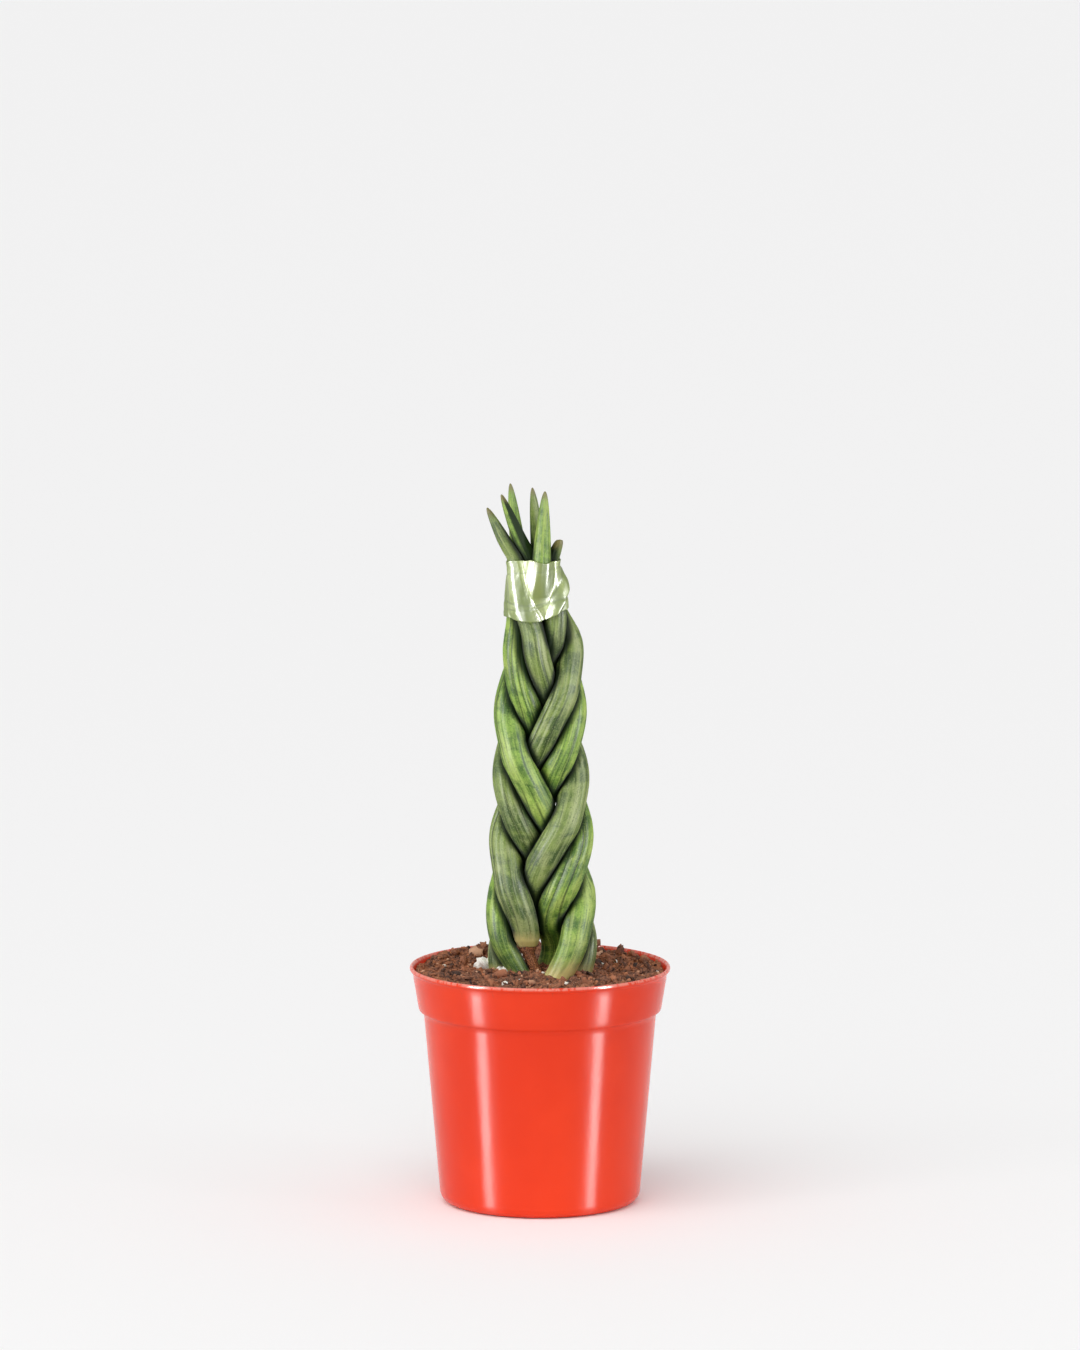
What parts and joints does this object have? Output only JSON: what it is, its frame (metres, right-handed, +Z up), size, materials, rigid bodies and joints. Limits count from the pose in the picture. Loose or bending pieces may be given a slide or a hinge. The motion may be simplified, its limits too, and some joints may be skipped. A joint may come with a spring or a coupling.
{
  "type": "braided cylindrical snake plant in a nursery pot",
  "caption": "Cylindrical snake plant: ribbed round leaves plaited into an upright braid, tied under the tips, standing in soil in a tapered plastic pot.",
  "frame": {"origin": "middle of the pot's flat base, on the surface that it stands on", "axes": "+Z up along the pot's axis, -Y towards the front of the braid"},
  "size_m": [0.12, 0.12, 0.3325],
  "materials": {
    "pot_plastic": "glossy thin moulded plastic, red-orange",
    "soil_mix": "matte brown potting mix with bark crumbs and perlite",
    "leaf_skin": "waxy satin skin, mottled green with pale lengthwise stripes",
    "tape_film": "shiny, slightly clear yellow-green tape"
  },
  "bodies": {
    "root": {"pot": "pot_plastic", "soil": "soil_mix", "leaf_1": "leaf_skin", "leaf_2": "leaf_skin", "leaf_3": "leaf_skin", "leaf_4": "leaf_skin", "leaf_5": "leaf_skin", "leaf_6": "leaf_skin", "tape": "tape_film"}
  },
  "joints": []
}
